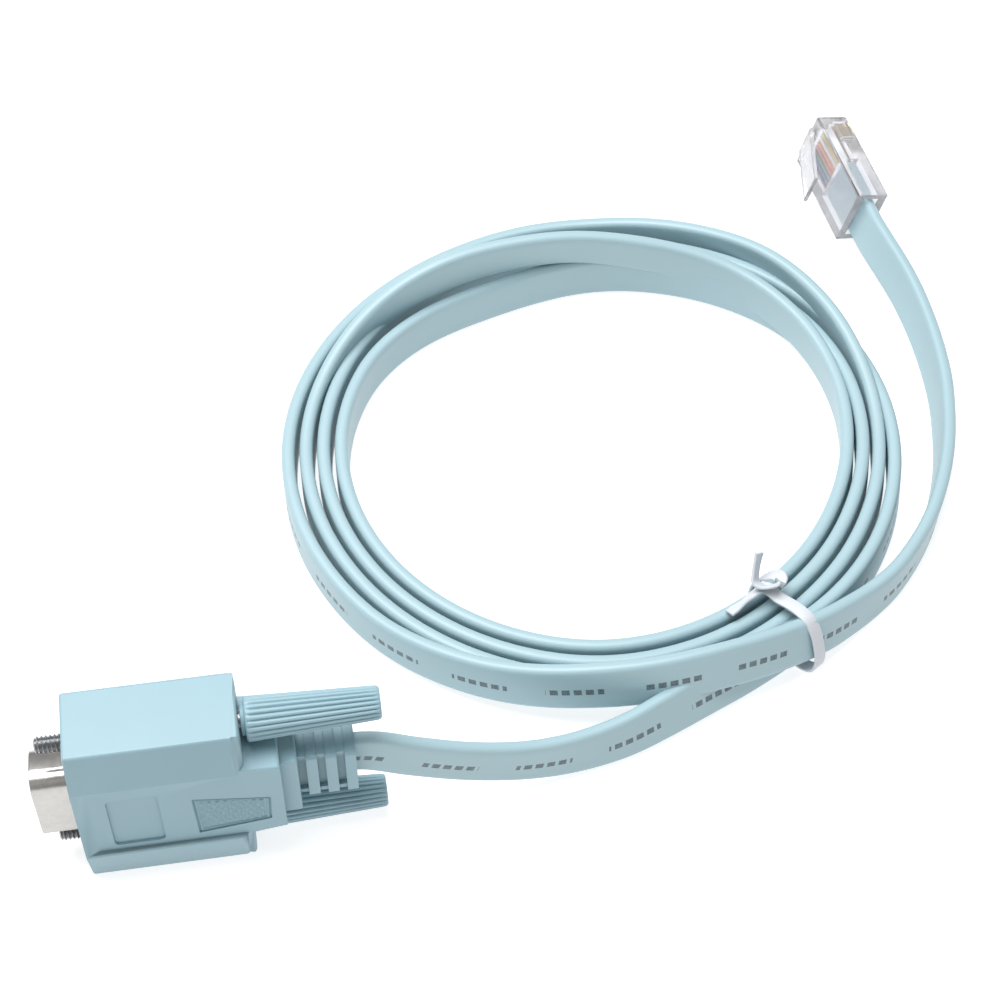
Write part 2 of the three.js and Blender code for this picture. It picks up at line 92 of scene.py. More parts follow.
# Then the turns: angle about the coil's centre, distance from it, height of the lower edge, lean outwards.
# Angles and leans are in degrees.
COIL_CENTRE = (70.0, 63.4)
TURNS = (
    (-78.1, 53.6, 0, -20), (-70.2, 52.3, 0, -19), (-62.9, 52.1, 0, -15), (-55.6, 52.2, 0, -9),
    (-45, 52.4, 0, -5), (-32, 52.5, 0, -4), (-18, 52.5, 0, -5), (0, 52.3, 0, -5), (12.7, 51.7, 0, -4),
    (24, 51.2, 0, -3), (40, 50.0, 0, 0), (61.4, 47.6, 0, 0), (81.4, 46.2, 0, 0), (111.4, 45.4, 0, 0),
    (141.4, 46.0, 0, 0), (171.4, 46.65, 0, 0), (216.4, 47.3, 0, 0), (261.4, 47.7, 0, 0),
    (291.4, 46.6, 0, 0), (304.4, 46.0, 0, 0), (330, 46.3, 0, -4), (351.4, 47.2, 0, -5), (372, 47.8, 0, -4),
    (390, 47.3, 0, -2), (401.4, 46.0, 0, 0), (420, 43.6, 0, 0), (441.4, 41.3, 0, 0), (454, 39.7, 0, 0),
    (467.4, 39.0, 0, 0), (478, 39.7, 0, 0), (488.1, 41.0, 0, 0), (506.1, 42.9, 0, 0), (531.4, 43.6, 0, 0),
    (576.4, 44.2, 0, 0), (621.4, 44.6, 0, 0), (651.4, 43.5, 0, 0), (664.4, 43.0, 0, 0), (690, 43.4, 0, -4),
    (711.4, 44.5, 0, -6), (728, 45.6, 0.3, -5), (744, 46.3, 1.2, -4), (757.5, 46.2, 2.0, -3),
    (766, 45.6, 3.0, -5), (773.5, 44.4, 4.2, -7), (783.4, 42.4, 5.8, -9), (793.4, 41.0, 7.2, -11),
    (800.7, 40.6, 8.0, -12), (808.9, 40.3, 8.6, -12), (819.6, 40.3, 8.9, -11), (828, 41.0, 8.9, -9),
    (838.7, 42.2, 8.8, -6), (848, 44.0, 7.4, -3), (855, 45.8, 5.5, 0), (866, 47.7, 3.0, 0),
    (878, 49.0, 0.8, 0), (891.4, 49.7, 0, 0), (936.4, 50.35, 0, 0), (981.4, 50.75, 0, 0),
    (1011.4, 49.65, 0, 0), (1024.4, 49.1, 0, 0), (1050, 49.3, 0, -4), (1071.4, 49.9, 0, -5),
    (1085, 50.3, 1.2, -4), (1104, 50.9, 3.8, -3), (1122, 51.6, 4.2, -2), (1141, 51.5, 2.0, -1),
    (1160.6, 50.9, 0, 0), (1191, 49.9, 0, 0), (1209, 50.3, 0, 0), (1230, 51.4, 0, 0), (1251.4, 52.75, 0, 0),
    (1275, 53.3, 0, 0), (1300, 53.4, 0, 0), (1325, 52.9, 2.2, -8), (1341.4, 52.7, 4.6, -15),
    (1356, 52.9, 5.2, -18), (1364, 52.9, 5.0, -19), (1372, 53.5, 4.0, -17), (1381, 54.2, 2.4, -15),
    (1389.5, 55.5, 1.0, -10),
)
# Then the tail to the plug, as points of its middle with the lean.
PLUG_TAIL = (
    (109.3, 23.4, 4.4, -6), (114.6, 27.2, 4.3, -2), (119.6, 32.5, 4.3, 0), (123.7, 38.1, 4.3, 2),
    (127.2, 44.6, 4.3, 3.5), (130.0, 51.5, 4.3, 5), (132.1, 59.1, 4.4, 7), (133.7, 68.1, 4.6, 9),
    (134.1, 79.3, 5.0, 11), (133.1, 91.0, 5.6, 13),
)
PLUG_PLACE = (129.6, 109.1, 6.55)
PLUG_HEADING = 98.1
PLUG_PITCH = 3.0
PLUG_LEAN = 14.4
JACKET_STATIONS = (-5.0, -1.0, 5.0, 9.8)

# The tie's strip in millimetres, from the tip of one end, round the cable and through the knot to the other
TIE_PATH = (
    (85.0, 21.3, 9.6), (86.9, 22.3, 10.0), (89.0, 23.4, 10.7), (91.1, 24.2, 11.3), (92.3, 23.6, 11.3),
    (93.4, 22.3, 10.8), (94.9, 20.7, 10.9), (96.2, 18.6, 11.4), (97.3, 17.0, 10.9), (98.3, 15.8, 8.6),
    (98.9, 15.0, 5.6), (99.2, 14.5, 2.8), (98.7, 14.6, 0.9), (97.2, 15.6, 0.35), (95.0, 18.5, 0.35),
    (92.6, 23.0, 0.35), (91.4, 26.0, 0.5), (90.8, 27.4, 2.2), (90.7, 27.7, 5.6), (90.9, 27.3, 8.8),
    (91.7, 26.4, 11.2), (93.5, 25.7, 12.5), (94.0, 24.3, 12.8), (92.6, 23.4, 12.7), (91.0, 23.7, 12.3),
    (89.9, 24.8, 12.5), (90.2, 26.4, 13.8), (90.9, 28.0, 16.0),
)
# The way the turns run where the tie holds them, and the strip's twist in degrees over its own length
TIE_ALONG = (0.825, 0.565, 0.0)
TIE_TWIST = ((0, 25), (0.1, 15), (0.16, 0), (0.8, 0), (0.9, 40), (1, 10))

# Plain dashes on the jacket: middle and half width as shares of the way round, lengths in metres
PRINT_MIDDLE = 0.262
PRINT_HALF = 0.018
GROUP_PITCH = 0.0155
GROUP_SHARE = 0.6
DASH_PITCH = 0.0019
DASH_SHARE = 0.68

WIRE_COLOURS = {
    "wire_brown": (0.159, 0.071, 0.032),
    "wire_yellow": (0.72, 0.51, 0.06),
    "wire_white": (0.81, 0.81, 0.78),
    "wire_orange": (0.76, 0.25, 0.06),
    "wire_red": (0.64, 0.10, 0.08),
    "wire_green": (0.04, 0.28, 0.12),
    "wire_blue": (0.05, 0.14, 0.46),
    "wire_black": (0.024, 0.024, 0.026),
}


# Settings


def length_property(name, description, default):
    return bpy.props.FloatProperty(name=name, description=description, default=default, min=0, unit="LENGTH")


def colour_property(name, description, default):
    return bpy.props.FloatVectorProperty(
        name=name, description=description, default=default, min=0, max=1, size=3, subtype="COLOR")


class CableSettings(bpy.types.PropertyGroup):
    """Sizes and colours of the flat cable and its tie."""

    width: length_property("Width", "Width of the flat cable across its cores", 8.6 * MM)
    thickness: length_property("Thickness", "Thickness of the flat cable", 2.3 * MM)
    edge: length_property("Edge radius", "Radius of the flat cable's rounded edges", 0.95 * MM)
    colour: colour_property("Jacket", "Colour of the cable's jacket", (0.345, 0.487, 0.535))
    print_colour: colour_property("Print", "Colour of the plain dashes along the jacket", (0.03, 0.05, 0.06))
    tie_width: length_property("Tie width", "Width of the twist tie's strip", 2.3 * MM)
    tie_thickness: length_property("Tie thickness", "Thickness of the twist tie's strip", 0.55 * MM)
    tie_colour: colour_property("Tie", "Colour of the twist tie", (0.58, 0.61, 0.65))


class ConnectorSettings(bpy.types.PropertyGroup):
    """Sizes and colours of the screw-lock connector."""

    colour: colour_property("Hood", "Colour of the moulded hood and thumbscrew heads", (0.26, 0.405, 0.462))
    edge: length_property("Edge radius", "Radius of the hood's rounded edges", 0.45 * MM)
    shell_colour: colour_property("Shell", "Colour of the plated shell", (0.50, 0.49, 0.47))
    screw_colour: colour_property("Screw steel", "Colour of the jackscrews", (0.36, 0.37, 0.38))
    gold_colour: colour_property("Gold", "Colour of the gold contacts", (0.78, 0.55, 0.20))
    grip_pitch: length_property("Grip pitch", "Distance between the grip pad's ridges", 0.95 * MM)
    head_radius: length_property("Head radius", "Radius of a thumbscrew head at its front", 3.45 * MM)
    head_ribs: bpy.props.IntProperty(
        name="Ribs", description="Ribs round a thumbscrew head", default=22, min=6)
    rib_depth: length_property("Rib depth", "Depth of the grooves between the ribs", 0.36 * MM)
    screw_radius: length_property("Screw radius", "Outer radius of a jackscrew's thread", 1.42 * MM)
    thread_pitch: length_property("Thread pitch", "Distance between the thread's crests", 0.635 * MM)


class PlugSettings(bpy.types.PropertyGroup):
    """Sizes and colours of the clear plug."""

    colour: colour_property("Clear plastic", "Tint of the plug's clear plastic", (0.94, 0.945, 0.975))
    edge: length_property("Edge radius", "Radius of the plug's rounded edges", 0.22 * MM)


class StageSettings(bpy.types.PropertyGroup):
    """Floor, light and camera."""

    floor: colour_property("Floor", "Colour of the floor", (0.45, 0.455, 0.46))
    floor_glow: bpy.props.FloatProperty(
        name="Floor glow", description="Light that the pale floor gives off, as a lit table does",
        default=0.75, min=0)
    key_power: bpy.props.FloatProperty(
        name="Key light", description="Power of the softbox above", default=8.5, min=0, unit="POWER")
    fill_power: bpy.props.FloatProperty(
        name="Fill light", description="Power of the softbox in front", default=0.3, min=0, unit="POWER")
    sky: bpy.props.FloatProperty(
        name="Sky", description="Strength of the light all round", default=0.38, min=0)


# Shader maths


class Value:
    """An output socket whose arithmetic adds Math nodes."""

    def __init__(self, shader, socket):
        self.shader = shader
        self.socket = socket

    def __add__(self, other):
        return self.shader.math("ADD", self, other)

    __radd__ = __add__

    def __sub__(self, other):
        return self.shader.math("SUBTRACT", self, other)

    def __rsub__(self, other):
        return self.shader.math("SUBTRACT", other, self)

    def __mul__(self, other):
        return self.shader.math("MULTIPLY", self, other)

    __rmul__ = __mul__

    def __truediv__(self, other):
        return self.shader.math("DIVIDE", self, other)

    def __lt__(self, other):
        return self.shader.math("LESS_THAN", self, other)

    def __abs__(self):
        return self.shader.math("ABSOLUTE", self)

    def fraction(self):
        return self.shader.math("FRACT", self)


class Shader:
    """A material with a Principled shader, and the nodes that feed it."""

    def __init__(self, name):
        self.material = bpy.data.materials.new(name)
        self.material.use_nodes = True
        self.tree = self.material.node_tree
        self.surface = self.tree.nodes["Principled BSDF"]

    def node(self, kind, settings=None, output=0, **sockets):
        """Any node: its settings first, then its sockets' values or links, with underscores for spaces."""
        made = self.tree.nodes.new(kind)
        for key, value in (settings or {}).items():
            setattr(made, key, value)
        for key, value in sockets.items():
            self.join(made.inputs[key.replace("_", " ")], value)
        return Value(self, made.outputs[output])

    def join(self, socket, value):
        if isinstance(value, Value):
            self.tree.links.new(value.socket, socket)
        else:
            socket.default_value = value

    def math(self, operation, *values):
        made = self.tree.nodes.new("ShaderNodeMath")
        made.operation = operation
        for socket, value in zip(made.inputs, values):
            self.join(socket, value)
        return Value(self, made.outputs[0])

    def mix(self, factor, first, second):
        made = self.tree.nodes.new("ShaderNodeMix")
        made.data_type = "RGBA"
        for index, value in ((0, factor), (6, first), (7, second)):
            self.join(made.inputs[index], value)
        return Value(self, made.outputs[2])

    def place(self):
        return self.node("ShaderNodeTexCoord", output="Object")

    def noise(self, vector, scale, detail=2.0, roughness=0.5):
        return self.node("ShaderNodeTexNoise", Vector=vector, Scale=scale, Detail=detail, Roughness=roughness)

    def bump(self, height, strength, distance):
        return self.node("ShaderNodeBump", Height=height, Strength=strength, Distance=distance)

    def finish(self, **sockets):
        for key, value in sockets.items():
            self.join(self.surface.inputs[key.replace("_", " ")], value)
        return self.material


def colour(rgb, shade=1.0):
    return tuple(min(1.0, c * shade) for c in rgb) + (1.0,)


def moulded_plastic(name, rgb, rough=0.42, grain=0.00003):
    """Satin moulded plastic: a slightly uneven colour and gloss over a fine grain."""
    shader = Shader(name)
    place = shader.place()
    cloud = shader.noise(place, 90.0)
    grit = shader.noise(place, 2600.0, 3.0, 0.6)
    base = shader.mix(cloud, colour(rgb, 0.95), colour(rgb, 1.05))
    return shader.finish(
        Base_Color=base, Roughness=rough - 0.04 + 0.06 * cloud + 0.05 * grit,
        Normal=shader.bump(grit, 0.35, grain), Specular_IOR_Level=0.5)


def cable_jacket(settings):
    """Soft jacket with faint drawn lines along it, and plain dashes along the middle of its outer face."""
    shader = Shader("cable_jacket")
    place = shader.place()
    coordinates = shader.node("ShaderNodeTexCoord", output="UV")
    split = shader.tree.nodes.new("ShaderNodeSeparateXYZ")
    shader.join(split.inputs[0], coordinates)
    along = Value(shader, split.outputs[0])
    around = Value(shader, split.outputs[1])
    stretched = shader.node("ShaderNodeCombineXYZ", X=along * 40.0, Y=around * 60.0, Z=0.0)
    drawn = shader.noise(stretched, 1.0, 3.0, 0.6)
    cloud = shader.noise(place, 60.0)
    grit = shader.noise(place, 2200.0)
    band = abs(around - PRINT_MIDDLE) < PRINT_HALF
    group = (along / GROUP_PITCH).fraction() < GROUP_SHARE
    dash = (along / DASH_PITCH).fraction() < DASH_SHARE
    worn = shader.noise(place, 1900.0, 2.0) * 0.5 + 0.55
    ink = band * group * dash * worn
    base = shader.mix(cloud * 0.6 + drawn * 0.4, colour(settings.colour, 0.96), colour(settings.colour, 1.04))
    base = shader.mix(ink, base, colour(settings.print_colour))
    height = drawn + 0.25 * grit
    return shader.finish(
        Base_Color=base, Roughness=0.36 + 0.10 * drawn, Normal=shader.bump(height, 0.3, 0.00004))


def plated_metal(name, rgb, rough, speckle=700.0):
    """Plated metal: a fine speckled surface with cloudy gloss."""
    shader = Shader(name)
    place = shader.place()
    cloud = shader.noise(place, 160.0, 3.0)
    speck = shader.noise(place, speckle, 4.0, 0.7)
    base = shader.mix(speck, colour(rgb, 0.82), colour(rgb, 1.1))
    return shader.finish(
        Base_Color=base, Metallic=1.0, Roughness=rough - 0.08 + 0.16 * cloud + 0.08 * speck,
        Normal=shader.bump(speck, 0.35, 0.00005))


def clear_plastic(settings):
    """Clear moulded plastic: gloss with faint ripples from the mould."""
    shader = Shader("clear_plastic")
    place = shader.place()
    ripple = shader.noise(place, 260.0, 2.0)
    tint = shader.mix(ripple, colour(settings.colour, 0.98), colour(settings.colour, 1.02))
    return shader.finish(
        Base_Color=tint, Roughness=0.10 + 0.08 * ripple, Transmission_Weight=0.84, IOR=1.32,
        Normal=shader.bump(ripple, 0.25, 0.0001))


# Surfaces


def closed_tube(name, grid, along=None):
    """Mesh from rings of points, one ring a row. Each quad joins two rings, the last column joins the first,
    and one face closes each end. The sign of the sum of a x b . c over the triangles, six times the volume,
    says whether the faces have to be turned out."""
    rows, columns = grid.shape[:2]
    index = np.arange(rows * columns).reshape(rows, columns)
    right = np.roll(index, -1, axis=1)
    quads = np.stack([index[:-1], right[:-1], right[1:], index[1:]], axis=-1).reshape(-1, 4)
    points = grid.reshape(-1, 3)
    a, b, c, d = (points[quads[:, k]] for k in range(4))
    volume = (np.cross(a, b) * c).sum() + (np.cross(a, c) * d).sum()
    inside_out = volume < 0
    if inside_out:
        quads = quads[:, ::-1]
    ends = [index[0], index[-1][::-1]] if inside_out else [index[0][::-1], index[-1]]
    mesh = bpy.data.meshes.new(name)
    mesh.from_pydata(points.tolist(), [], quads.tolist() + [end.tolist() for end in ends])
    if along is not None:
        row, column = quads // columns, quads % columns
        first = column.min(axis=1, keepdims=True) == 0
        last = column.max(axis=1, keepdims=True) == columns - 1
        around = np.where(first & last & (column == 0), columns, column) / columns
        flat = np.stack([along[row], around], axis=-1).reshape(-1, 2)
        flat = np.vstack([flat, np.zeros((2 * columns, 2))])
        layer = mesh.uv_layers.new(name="along")
        layer.data.foreach_set("uv", flat.astype(np.float32).ravel())
    return mesh


def finish_mesh(mesh, angle=35.0):
    mesh.validate()
    mesh.shade_smooth()
    mesh.set_sharp_from_angle(angle=math.radians(angle))
    mesh.update()
    return mesh


def add_piece(name, mesh, body, material, replaced=()):
    """An object at the origin that rides a CAD body and stands for the CAD nodes named."""
    piece = bpy.data.objects.new(name, mesh)
    bpy.context.scene.collection.objects.link(piece)
    mesh.materials.clear()
    mesh.materials.append(material)
    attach(piece, body)
    if replaced:
        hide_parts(*replaced)
    return piece


def refine_node(node, name, body, material, edge, shortest=0.0, keep=None):
    """A copy of a CAD node's mesh with its points merged and flat faces joined. Its sharp convex edges that
    are longer than the shortest are rounded, apart from those whose middle keep() holds."""
    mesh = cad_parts[node].data.copy()
    mesh.name = name
    work = bmesh.new()
    work.from_mesh(mesh)
    bmesh.ops.remove_doubles(work, verts=work.verts, dist=2e-6)
    bmesh.ops.dissolve_limit(work, angle_limit=math.radians(0.6), verts=work.verts, edges=work.edges)
    sharp = math.radians(SHARP_TURN)
    chosen = [e for e in work.edges if e.is_manifold and e.calc_face_angle_signed(0) > sharp
              and e.calc_length() > shortest and not (keep and keep((e.verts[0].co + e.verts[1].co) / 2))]
    bmesh.ops.bevel(work, geom=chosen, offset=edge, offset_type="OFFSET", segments=3, profile=0.5,
                    affect="EDGES", clamp_overlap=False)
    work.to_mesh(mesh)
    work.free()
    while mesh.uv_layers:
        mesh.uv_layers.remove(mesh.uv_layers[0])
    finish_mesh(mesh)
    piece = add_piece(name, mesh, body, material, (node,))
    flat = piece.modifiers.new("flat faces", "WEIGHTED_NORMAL")
    flat.keep_sharp = True
    return piece


def dress_node(node, material):
    """A CAD node keeps its mesh and gets a procedural material."""
    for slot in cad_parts[node].material_slots:
        slot.link = "OBJECT"
        slot.material = material


def smooth_values(values, width):
    """Running average under a raised cosine, with the ends held by an odd reflection."""
    kernel = np.hanning(width + 2)[1:-1]
    kernel /= kernel.sum()
    pad = width // 2
    wide = np.pad(values, pad, mode="edge")
    wide[:pad] = 2 * values[0] - values[1:pad + 1][::-1]
    wide[-pad:] = 2 * values[-1] - values[-pad - 1:-1][::-1]
    return np.convolve(wide, kernel, mode="valid")[:len(values)]


def triangle_wave(turns):
    """Falls from one to zero and rises back over each whole turn."""
    return np.abs(2 * (turns - np.floor(turns)) - 1)


def spline(points, steps):
    """Catmull-Rom curve through the points: each span blends its two ends and their neighbours by cubic
    weights."""
    p = np.asarray(points, float)
    p = np.vstack([2 * p[0] - p[1], p, 2 * p[-1] - p[-2]])
    a, b, c, d = (p[k:len(p) - 3 + k][:, None, :] for k in range(4))
    t = np.linspace(0, 1, steps, endpoint=False)[None, :, None]
    spans = 0.5 * (2 * b + (c - a) * t + (2 * a - 5 * b + 4 * c - d) * t**2 + (3 * b - a - 3 * c + d) * t**3)
    return np.vstack([spans.reshape(-1, p.shape[1]), p[-2:-1]])


def even_steps(points, spacing):
    """The same line with its points a fixed distance apart, and the distance of each from the start."""
    length = np.r_[0, np.cumsum(np.linalg.norm(np.diff(points[:, :3], axis=0), axis=1))]
    s = np.linspace(0, length[-1], int(length[-1] / spacing))
    return np.column_stack([np.interp(s, length, column) for column in points.T]), s


def rounded_section(half_wide, half_tall, radius, corner=5, face=4):
    """Rounded rectangle, starting at the middle of the top edge: straight sides joined by quarter circles."""
    angles = np.linspace(0, np.pi / 2, corner)
    centre = np.array([half_wide - radius, half_tall - radius])
    arc = np.column_stack([np.sin(angles), np.cos(angles)]) * radius + centre
    side = np.column_stack([np.full(face, half_wide), np.linspace(centre[1], 0, face + 1)[1:]])
    quarter = np.vstack([[[0, half_tall]], arc, side])
    lower = quarter[-2::-1] * [1, -1]
    half = np.vstack([quarter, lower])
    return np.vstack([half, half[-2:0:-1] * [-1, 1]])


def plug_axes():
    """The plug's forward, left and up directions: heading about Z, then pitch, then lean."""
    def turn(i, j, degrees):
        matrix = np.eye(3)
        c, s = math.cos(math.radians(degrees)), math.sin(math.radians(degrees))
        matrix[i, i], matrix[i, j], matrix[j, i], matrix[j, j] = c, -s, s, c
        return matrix
    return turn(0, 1, PLUG_HEADING) @ turn(2, 0, -PLUG_PITCH) @ turn(1, 2, PLUG_LEAN)


def cable_route(width, thickness):
    """The cable's middle line with the directions across its height and thickness, in millimetres. The turns
    are read by angle and smoothed, then one spline runs through both tails and every fourth degree of the
    turns."""
    turns = np.array(TURNS, float)
    angle = np.arange(turns[0, 0], turns[-1, 0], 1.0)
    r = smooth_values(np.interp(angle, turns[:, 0], turns[:, 1]), 25)
    base = smooth_values(np.interp(angle, turns[:, 0], turns[:, 2]), 21)
    lean = smooth_values(np.interp(angle, turns[:, 0], turns[:, 3]), 21)
    a = np.radians(angle)
    ring = np.column_stack([
        COIL_CENTRE[0] + r * np.cos(a), COIL_CENTRE[1] + r * np.sin(a), base + width / 2, lean])
    into_plug = np.array([[*(PLUG_PLACE + plug_axes() @ [d, 0, 0]), PLUG_LEAN] for d in JACKET_STATIONS])
    line, s = even_steps(spline(np.vstack([HOOD_TAIL, ring[::4], PLUG_TAIL, into_plug]), 12), 1.0)
    line = np.column_stack([smooth_values(column, 5) for column in line.T])
    centre = line[:, :3].copy()
    ahead = np.gradient(centre, axis=0)
    ahead /= np.linalg.norm(ahead, axis=1)[:, None]
    side = np.cross([0, 0, 1.0], ahead)
    side /= np.linalg.norm(side, axis=1)[:, None]
    rise = np.cross(ahead, side)
    turned = np.radians(line[:, 3])[:, None]
    tall = rise * np.cos(turned) - side * np.sin(turned)
    wide = side * np.cos(turned) + rise * np.sin(turned)
    low = width / 2 * np.abs(tall[:, 2]) + thickness / 2 * np.abs(wide[:, 2])
    centre[:, 2] = np.maximum(centre[:, 2], low)
    return centre, tall, wide, s


def strip_mesh(name, points, wide, thin, width, thickness, radius):
    """A rounded strip carried along a line: each ring is its section laid on that point's two directions."""
    section = rounded_section(thickness / 2, width / 2, radius, 3, 1)
    x, y = section[None, :, 0:1], section[None, :, 1:2]
    return closed_tube(name, points[:, None, :] + x * thin[:, None, :] + y * wide[:, None, :])


# Operators


def aim(thing, place, target):
    """Puts a camera or light at its place and turns it to its target."""
    thing.location = place
    thing.rotation_euler = (Vector(target) - Vector(place)).to_track_quat("-Z", "Y").to_euler()


class ConsoleOperator(bpy.types.Operator):
    """Base of the cable's operators."""

    bl_options = {"REGISTER", "UNDO"}


class CONSOLE_OT_camera(ConsoleOperator):
    """Place the camera at the photograph's angle"""

    bl_idname = "console_cable.camera"
    bl_label = "Camera"

    def execute(self, context):
        data = bpy.data.cameras.new("camera")
        data.lens = CAMERA_LENS
        data.sensor_width = SENSOR_WIDTH
        data.clip_start = 0.01
        camera = bpy.data.objects.new("camera", data)
        context.scene.collection.objects.link(camera)
        aim(camera, CAMERA_PLACE, CAMERA_TARGET)
        context.scene.camera = camera
        return {"FINISHED"}


class CONSOLE_OT_cable(ConsoleOperator):
    """Build the flat cable from the hood, round the coil and into the plug"""

    bl_idname = "console_cable.cable"
    bl_label = "Flat cable"

    def execute(self, context):
        settings = context.scene.console_cable
        width, thickness = settings.width / MM, settings.thickness / MM
        centre, tall, wide, s = cable_route(width, thickness)
        section = rounded_section(thickness / 2, width / 2, settings.edge / MM)
        # The section starts at the top and goes down the outer face, on the right of the way along
        x, y = section[None, :, 0:1], section[None, :, 1:2]
        grid = centre[:, None, :] - x * wide[:, None, :] + y * tall[:, None, :]
        mesh = finish_mesh(closed_tube("cable", grid * MM, s * MM), 60.0)
        cable = add_piece("cable", mesh, "cable", cable_jacket(settings),
                          ("cable_hood_tail", "cable_coil", "cable_plug_tail"))
        cable["route"] = [float(x) for x in (centre[::2] * MM).ravel()]
        cable["route_length"] = float(s[-1] * MM)
        return {"FINISHED"}


class CONSOLE_OT_tie(ConsoleOperator):
    """Build the twist tie, one folded strip round the turns with its knot and two ends"""

    bl_idname = "console_cable.tie"
    bl_label = "Twist tie"

    def execute(self, context):
        settings = context.scene.console_cable
        points, s = even_steps(spline(TIE_PATH, 14), 0.25)
        ahead = np.gradient(points, axis=0)
        ahead /= np.linalg.norm(ahead, axis=1)[:, None]
        # The strip lies flat on the cable, its width along the turns there, and it twists through the knot
        along_turns = np.array(TIE_ALONG)
        wide = along_turns - (ahead @ along_turns)[:, None] * ahead
        wide /= np.linalg.norm(wide, axis=1)[:, None]
        thin = np.cross(ahead, wide)
        twist = np.radians(np.interp(s / s[-1], *zip(*TIE_TWIST)))[:, None]
        wide, thin = wide * np.cos(twist) + thin * np.sin(twist), thin * np.cos(twist) - wide * np.sin(twist)
        thickness = settings.tie_thickness
        mesh = strip_mesh("twist_tie_strip", points * MM, wide, thin, settings.tie_width, thickness,
                          thickness * 0.4)
        white = moulded_plastic("tie_plastic", settings.tie_colour, 0.45)
        add_piece("twist_tie_strip", finish_mesh(mesh), "cable", white, ("twist_tie",))
        return {"FINISHED"}


class CONSOLE_OT_hood(ConsoleOperator):
    """Round the hood's edges and lay the grip pads into its broad faces"""

    bl_idname = "console_cable.hood"
    bl_label = "Hood"

    def execute(self, context):
        settings = context.scene.console_connector
        plastic = moulded_plastic("hood_plastic", settings.colour)
        refine_node("hood", "hood_moulding", "cable", plastic, settings.edge, 2.2 * MM,
                    self.in_recess)
        for name, side in (("front", -1), ("back", 1)):
            mesh = self.grip_pad(f"grip_pad_{name}", side, settings.grip_pitch / MM)
            add_piece(f"grip_pad_{name}", finish_mesh(mesh, 20.0), "cable", plastic)
        return {"FINISHED"}

    def in_recess(self, middle):
        """Whether an edge's middle lies on the outline of a recess, which stays sharp."""
        on_face = abs(abs(middle.y) - BLOCK_HALF * MM) < 0.02 * MM
        return on_face and abs(middle.z - AXIS_HEIGHT * MM) < RECESS_REACH * MM

    def grip_pad(self, name, side, pitch):
        """Points of a grid over the recess, bilinear between its corners. The height is a field of pyramids:
        the lower of two crossed triangle waves, one along each diagonal. A frame round it stays plain, and
        its edge drops to the recess floor, where one face closes it."""
        corners = np.array(GRIP_OUTLINE)
        corners = corners + (corners.mean(axis=0) - corners) * 0.03
        u = np.linspace(0, 1, 150)[:, None, None]
        v = np.linspace(0, 1, 86)[None, :, None]
        flat = ((1 - u) * (1 - v) * corners[0] + u * (1 - v) * corners[1]
                + u * v * corners[2] + (1 - u) * v * corners[3])
        x, z = flat[..., 0], flat[..., 1]
        slope, spread = 0.62, 1.25
        ridges = np.minimum(triangle_wave((x + slope * z) / pitch / spread),
                            triangle_wave((x - slope * z) / pitch / spread))
        border = np.minimum(np.minimum(u, 1 - u) * 11.5, np.minimum(v, 1 - v) * 8.0)[..., 0]
        frame_middle, frame_half, field_start = 0.35, 0.3, 0.75
        frame_height = np.clip(1 - np.abs(border - frame_middle) / frame_half, 0, 1)
        field = np.clip((border - field_start) / (1 - field_start), 0, 1)
        rise = GRIP_DEPTH * (0.2 + 1.1 * np.maximum(0.8 * frame_height, ridges * field))
        rise[0], rise[-1], rise[:, 0], rise[:, -1] = 0, 0, 0, 0
        y = side * (BLOCK_HALF - GRIP_DEPTH + rise)
        points = np.stack([x + HOOD_FRONT, y, z + AXIS_HEIGHT], axis=-1) * MM
        rows, columns = x.shape
        index = np.arange(rows * columns).reshape(rows, columns)
        quads = np.stack([index[:-1, :-1], index[1:, :-1], index[1:, 1:], index[:-1, 1:]], axis=-1)
        quads = quads.reshape(-1, 4)
        rim = np.concatenate([index[0, :-1], index[:-1, -1], index[-1, :0:-1], index[:0:-1, 0]])
        if side > 0:
            quads = quads[:, ::-1]
            rim = rim[::-1]
        mesh = bpy.data.meshes.new(name)
        mesh.from_pydata(points.reshape(-1, 3).tolist(), [], quads.tolist() + [rim.tolist()])
        return mesh


class CONSOLE_OT_contacts(ConsoleOperator):
    """Finish the metal shell, the insulator and its socket contacts"""

    bl_idname = "console_cable.contacts"
    bl_label = "Shell and contacts"

    def execute(self, context):
        settings = context.scene.console_connector
        tin = plated_metal("plated_steel", settings.shell_colour, 0.22)
        refine_node("d_shell", "d_shell_plated", "cable", tin, 0.16 * MM)
        dark = moulded_plastic("insulator_plastic", (0.024, 0.026, 0.029), 0.5)
        refine_node("contact_insulator", "insulator_block", "cable", dark, 0.06 * MM)
        gold = plated_metal("socket_gold", settings.gold_colour, 0.26)
        for number in range(1, 10):
            dress_node(f"socket_contact_{number}", gold)
        return {"FINISHED"}


